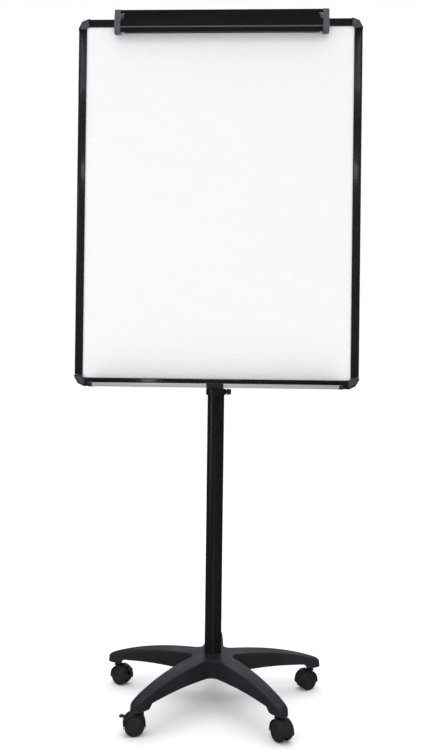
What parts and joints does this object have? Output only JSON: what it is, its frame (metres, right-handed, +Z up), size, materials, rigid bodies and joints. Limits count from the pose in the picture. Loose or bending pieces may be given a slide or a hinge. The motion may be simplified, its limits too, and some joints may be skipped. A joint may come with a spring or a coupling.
{
  "type": "mobile flipchart easel",
  "caption": "Framed white writing board with a sprung pad clamp and pen tray on a telescopic column, standing on a star base with swivelling twin-wheel castors.",
  "frame": {"origin": "on the floor, under the middle of the object's bounding box", "axes": "+Z up, +X along the board's width to a viewer's right, the writing face looks along -Y"},
  "size_m": [0.7012, 0.54, 1.7],
  "materials": {
    "base_nylon": "glass-filled nylon with a fine spark texture, satin",
    "black_paint": "satin black powder coat",
    "black_aluminium": "gloss black lacquered extrusion",
    "castor_nylon": "moulded black nylon, satin",
    "corner_plastic": "moulded black plastic, fine texture",
    "grey_plastic": "moulded mid-grey plastic",
    "tray_grey": "satin grey anodised extrusion",
    "white_enamel": "gloss white dry-wipe lacquer",
    "honeycomb": "kraft board, raw edge",
    "back_grey": "stucco sheet, pale grey",
    "rubber": "matt black",
    "steel": "bright zinc plate"
  },
  "bodies": {
    "base": {"star_base": "base_nylon", "outer_tube": "black_paint", "hub_bolt": "steel", "height_collar": "corner_plastic", "castor_stem_back": "steel", "castor_stem_left": "steel", "castor_stem_front_left": "steel", "castor_stem_front_right": "steel", "castor_stem_right": "steel"},
    "height_knob": {"height_knob": "corner_plastic"},
    "height_slider": {"guide_bush": "grey_plastic"},
    "mast": {"inner_tube": "black_paint", "mast_top_cap": "corner_plastic", "frame_rail_left": "black_aluminium", "frame_rail_right": "black_aluminium", "frame_rail_bottom": "black_aluminium", "frame_rail_top": "black_aluminium", "frame_corner_bottom_left": "corner_plastic", "frame_corner_bottom_right": "corner_plastic", "frame_corner_top_left": "corner_plastic", "frame_corner_top_right": "corner_plastic", "writing_surface": "white_enamel", "board_core": "honeycomb", "back_sheet": "back_grey", "pen_tray": "tray_grey", "tray_end_cap_left": "corner_plastic", "tray_end_cap_right": "corner_plastic", "tray_bracket": "black_paint", "crossbar_lower": "black_paint", "crossbar_upper": "black_paint", "mast_saddle_lower": "corner_plastic", "mast_saddle_upper": "corner_plastic", "mast_bolt_lower": "steel", "mast_bolt_upper": "steel", "clamp_rail": "black_aluminium", "hinge_rod": "steel", "clamp_cap_left": "grey_plastic", "clamp_cap_right": "grey_plastic"},
    "clamp_jaw": {"clamp_jaw": "black_aluminium", "clamp_grip_strip": "rubber", "clamp_spring": "steel"},
    "pad_hook_left": {"pad_hook_left": "castor_nylon"},
    "pad_hook_right": {"pad_hook_right": "castor_nylon"},
    "castor_back": {"castor_hood_back": "castor_nylon"},
    "wheel_back_a": {"wheel_back_a": "castor_nylon"},
    "wheel_back_b": {"wheel_back_b": "castor_nylon"},
    "castor_left": {"castor_hood_left": "castor_nylon"},
    "wheel_left_a": {"wheel_left_a": "castor_nylon"},
    "wheel_left_b": {"wheel_left_b": "castor_nylon"},
    "brake_lever_left": {"brake_lever_left": "castor_nylon"},
    "castor_front_left": {"castor_hood_front_left": "castor_nylon"},
    "wheel_front_left_a": {"wheel_front_left_a": "castor_nylon"},
    "wheel_front_left_b": {"wheel_front_left_b": "castor_nylon"},
    "brake_lever_front_left": {"brake_lever_front_left": "castor_nylon"},
    "castor_front_right": {"castor_hood_front_right": "castor_nylon"},
    "wheel_front_right_a": {"wheel_front_right_a": "castor_nylon"},
    "wheel_front_right_b": {"wheel_front_right_b": "castor_nylon"},
    "castor_right": {"castor_hood_right": "castor_nylon"},
    "wheel_right_a": {"wheel_right_a": "castor_nylon"},
    "wheel_right_b": {"wheel_right_b": "castor_nylon"}
  },
  "joints": [
    {"name": "height_slide", "type": "slide", "parent": "base", "child": "height_slider", "axis": [0, 0, 1], "range_m": [0, 0.3]},
    {"name": "mast_swivel", "type": "hinge", "parent": "height_slider", "child": "mast", "pos_m": [0, -0.0176, 0.33], "axis": [0, 0, 1], "range_deg": [-180, 180]},
    {"name": "knob_turn", "type": "hinge", "parent": "base", "child": "height_knob", "pos_m": [0.03, -0.0176, 0.7655], "axis": [1, 0, 0], "continuous": true},
    {"name": "jaw_hinge", "type": "hinge", "parent": "mast", "child": "clamp_jaw", "pos_m": [0.004, -0.0751, 1.679], "axis": [-1, 0, 0], "range_deg": [0, 28], "stiffness_Nm_per_rad": 0.8, "springref_deg": -17.19},
    {"name": "hook_left_slide", "type": "slide", "parent": "mast", "child": "pad_hook_left", "axis": [1, 0, 0], "range_m": [-0.03, 0.07]},
    {"name": "hook_right_slide", "type": "slide", "parent": "mast", "child": "pad_hook_right", "axis": [1, 0, 0], "range_m": [-0.07, 0.03]},
    {"name": "castor_back_swivel", "type": "hinge", "parent": "base", "child": "castor_back", "pos_m": [0, 0.2454, 0.0492], "axis": [0, 0, 1], "continuous": true},
    {"name": "wheel_back_a_spin", "type": "hinge", "parent": "castor_back", "child": "wheel_back_a", "pos_m": [-0.01175, 0.24113, 0.0225], "axis": [0.342, -0.9397, 0], "continuous": true},
    {"name": "wheel_back_b_spin", "type": "hinge", "parent": "castor_back", "child": "wheel_back_b", "pos_m": [-0.01175, 0.24113, 0.0225], "axis": [0.342, -0.9397, 0], "continuous": true},
    {"name": "castor_left_swivel", "type": "hinge", "parent": "base", "child": "castor_left", "pos_m": [-0.25013, 0.06367, 0.0492], "axis": [0, 0, 1], "continuous": true},
    {"name": "wheel_left_a_spin", "type": "hinge", "parent": "castor_left", "child": "wheel_left_a", "pos_m": [-0.23953, 0.05705, 0.0225], "axis": [0.5299, 0.848, 0], "continuous": true},
    {"name": "wheel_left_b_spin", "type": "hinge", "parent": "castor_left", "child": "wheel_left_b", "pos_m": [-0.23953, 0.05705, 0.0225], "axis": [0.5299, 0.848, 0], "continuous": true},
    {"name": "brake_left_press", "type": "hinge", "parent": "castor_left", "child": "brake_lever_left", "pos_m": [-0.22924, 0.05062, 0.03132], "axis": [0.5299, 0.848, 0], "range_deg": [0, 18]},
    {"name": "castor_front_left_swivel", "type": "hinge", "parent": "base", "child": "castor_front_left", "pos_m": [-0.15459, -0.23037, 0.0492], "axis": [0, 0, 1], "continuous": true},
    {"name": "wheel_front_left_a_spin", "type": "hinge", "parent": "castor_front_left", "child": "wheel_front_left_a", "pos_m": [-0.1669, -0.23254, 0.0225], "axis": [0.1736, -0.9848, 0], "continuous": true},
    {"name": "wheel_front_left_b_spin", "type": "hinge", "parent": "castor_front_left", "child": "wheel_front_left_b", "pos_m": [-0.1669, -0.23254, 0.0225], "axis": [0.1736, -0.9848, 0], "continuous": true},
    {"name": "brake_front_left_press", "type": "hinge", "parent": "castor_front_left", "child": "brake_lever_front_left", "pos_m": [-0.17885, -0.23465, 0.03132], "axis": [0.1736, -0.9848, 0], "range_deg": [0, 18]},
    {"name": "castor_front_right_swivel", "type": "hinge", "parent": "base", "child": "castor_front_right", "pos_m": [0.15459, -0.23037, 0.0492], "axis": [0, 0, 1], "continuous": true},
    {"name": "wheel_front_right_a_spin", "type": "hinge", "parent": "castor_front_right", "child": "wheel_front_right_a", "pos_m": [0.1614, -0.24086, 0.0225], "axis": [0.8387, 0.5446, 0], "continuous": true},
    {"name": "wheel_front_right_b_spin", "type": "hinge", "parent": "castor_front_right", "child": "wheel_front_right_b", "pos_m": [0.1614, -0.24086, 0.0225], "axis": [0.8387, 0.5446, 0], "continuous": true},
    {"name": "castor_right_swivel", "type": "hinge", "parent": "base", "child": "castor_right", "pos_m": [0.25013, 0.06367, 0.0492], "axis": [0, 0, 1], "continuous": true},
    {"name": "wheel_right_a_spin", "type": "hinge", "parent": "castor_right", "child": "wheel_right_a", "pos_m": [0.23977, 0.05668, 0.0225], "axis": [0.5592, -0.829, 0], "continuous": true},
    {"name": "wheel_right_b_spin", "type": "hinge", "parent": "castor_right", "child": "wheel_right_b", "pos_m": [0.23977, 0.05668, 0.0225], "axis": [0.5592, -0.829, 0], "continuous": true}
  ]
}
